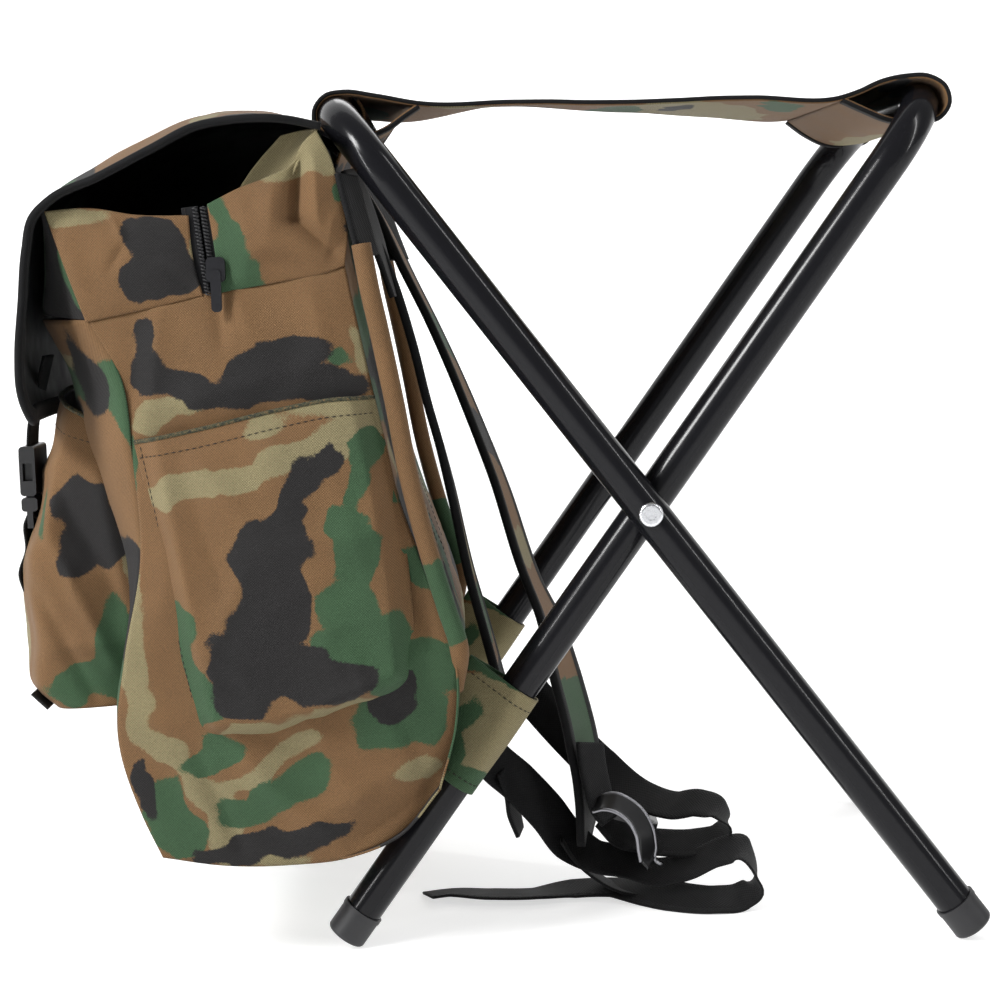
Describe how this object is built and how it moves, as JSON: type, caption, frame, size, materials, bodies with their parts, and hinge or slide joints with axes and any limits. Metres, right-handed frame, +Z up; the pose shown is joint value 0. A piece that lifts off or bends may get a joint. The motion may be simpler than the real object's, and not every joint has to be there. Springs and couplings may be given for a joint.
{
  "type": "folding field stool with rucksack",
  "caption": "Folding field stool of crossed bent tubes with a cloth seat and a camouflage rucksack hung on one side, with straps, pockets, flap and buckles.",
  "frame": {"origin": "on the ground under the middle of the overall box", "axes": "+X from the rucksack towards the free feet, +Y along the pivot away from the camera side, +Z up"},
  "size_m": [0.4804, 0.32, 0.4307],
  "materials": {
    "tube_black": "gloss",
    "cap_black": "satin",
    "rivet_zinc": "satin",
    "washer_black": "satin",
    "camo_cloth": "matte",
    "strap_camo": "matte",
    "binding_black": "matte",
    "webbing_black": "matte",
    "foam": "matte",
    "buckle_black": "gloss",
    "zip_black": "satin",
    "zip_metal": "gloss"
  },
  "bodies": {
    "inner_frame": {"inner_frame_tube": "tube_black", "inner_foot_caps": "cap_black", "seat_casing_inner_bar": "camo_cloth", "seat_panel": "camo_cloth", "seat_binding_near": "binding_black", "seat_binding_far": "binding_black"},
    "outer_frame": {"outer_frame_tube": "tube_black", "outer_foot_caps": "cap_black", "seat_casing_outer_bar": "camo_cloth", "pivot_rivets": "rivet_zinc", "pivot_washers": "washer_black"},
    "leg_sleeves": {"leg_sleeve_near": "camo_cloth", "leg_sleeve_far": "camo_cloth"},
    "flap": {"buckle_socket_far": "buckle_black", "buckle_socket_near": "buckle_black", "flap_binding_far": "binding_black", "flap_binding_near": "binding_black", "flap_panel": "camo_cloth", "flap_webbing_far": "webbing_black", "flap_webbing_near": "webbing_black"},
    "plug_near": {"buckle_plug_near": "buckle_black", "plug_tail_near": "webbing_black"},
    "plug_far": {"buckle_plug_far": "buckle_black", "plug_tail_far": "webbing_black"},
    "slider_near": {"zip_slider_near": "zip_metal"},
    "slider_far": {"zip_slider_far": "zip_metal"},
    "pack": {"adjuster_webbing_far": "webbing_black", "adjuster_webbing_near": "webbing_black", "back_foam": "foam", "back_pad": "camo_cloth", "back_panel": "camo_cloth", "bottom_panel": "camo_cloth", "cuff_front": "camo_cloth", "cuff_side_far": "camo_cloth", "cuff_side_near": "camo_cloth", "cuff_zip_far": "zip_black", "cuff_zip_near": "zip_black", "front_panel": "camo_cloth", "front_pocket": "camo_cloth", "ladder_lock": "buckle_black", "pack_hanger": "camo_cloth", "shoulder_strap_far": "strap_camo", "shoulder_strap_near": "strap_camo", "side_panel_far": "camo_cloth", "side_panel_near": "camo_cloth", "side_pocket_far": "camo_cloth", "side_pocket_near": "camo_cloth", "strap_anchor_far": "webbing_black", "strap_anchor_near": "webbing_black", "strap_tongue": "webbing_black"}
  },
  "joints": [
    {"name": "frame_fold", "type": "hinge", "parent": "inner_frame", "child": "outer_frame", "pos_m": [0.0751, 0, 0.21835], "axis": [0, 1, 0], "range_deg": [0, 67], "deforming": ["seat_panel", "seat_binding_near", "seat_binding_far"]},
    {"name": "pack_swing", "type": "hinge", "parent": "outer_frame", "child": "pack", "pos_m": [-0.0714, 0, 0.41634], "axis": [0, -1, 0], "range_deg": [0, 23.6]},
    {"name": "sleeve_slide", "type": "slide", "parent": "inner_frame", "child": "leg_sleeves", "axis": [0.5948, 0, 0.8039], "range_m": [0, 0.069]},
    {"name": "flap_lift", "type": "hinge", "parent": "pack", "child": "flap", "pos_m": [-0.0879, 0, 0.40835], "axis": [0, 1, 0], "range_deg": [0, 85]},
    {"name": "plug_near_pull", "type": "slide", "parent": "flap", "child": "plug_near", "axis": [0, 0, -1], "range_m": [0, 0.024]},
    {"name": "plug_far_pull", "type": "slide", "parent": "flap", "child": "plug_far", "axis": [0, 0, -1], "range_m": [0, 0.024]},
    {"name": "zip_near_run", "type": "slide", "parent": "pack", "child": "slider_near", "axis": [-0.0555, 0, 0.9985], "range_m": [0, 0.022]},
    {"name": "zip_far_run", "type": "slide", "parent": "pack", "child": "slider_far", "axis": [-0.0555, 0, 0.9985], "range_m": [0, 0.022]}
  ],
  "couplings": [
    {"joint": "pack_swing", "follows": "frame_fold", "ratio": 0.351},
    {"joint": "sleeve_slide", "follows": "frame_fold", "m_per_rad": 0.05875}
  ]
}
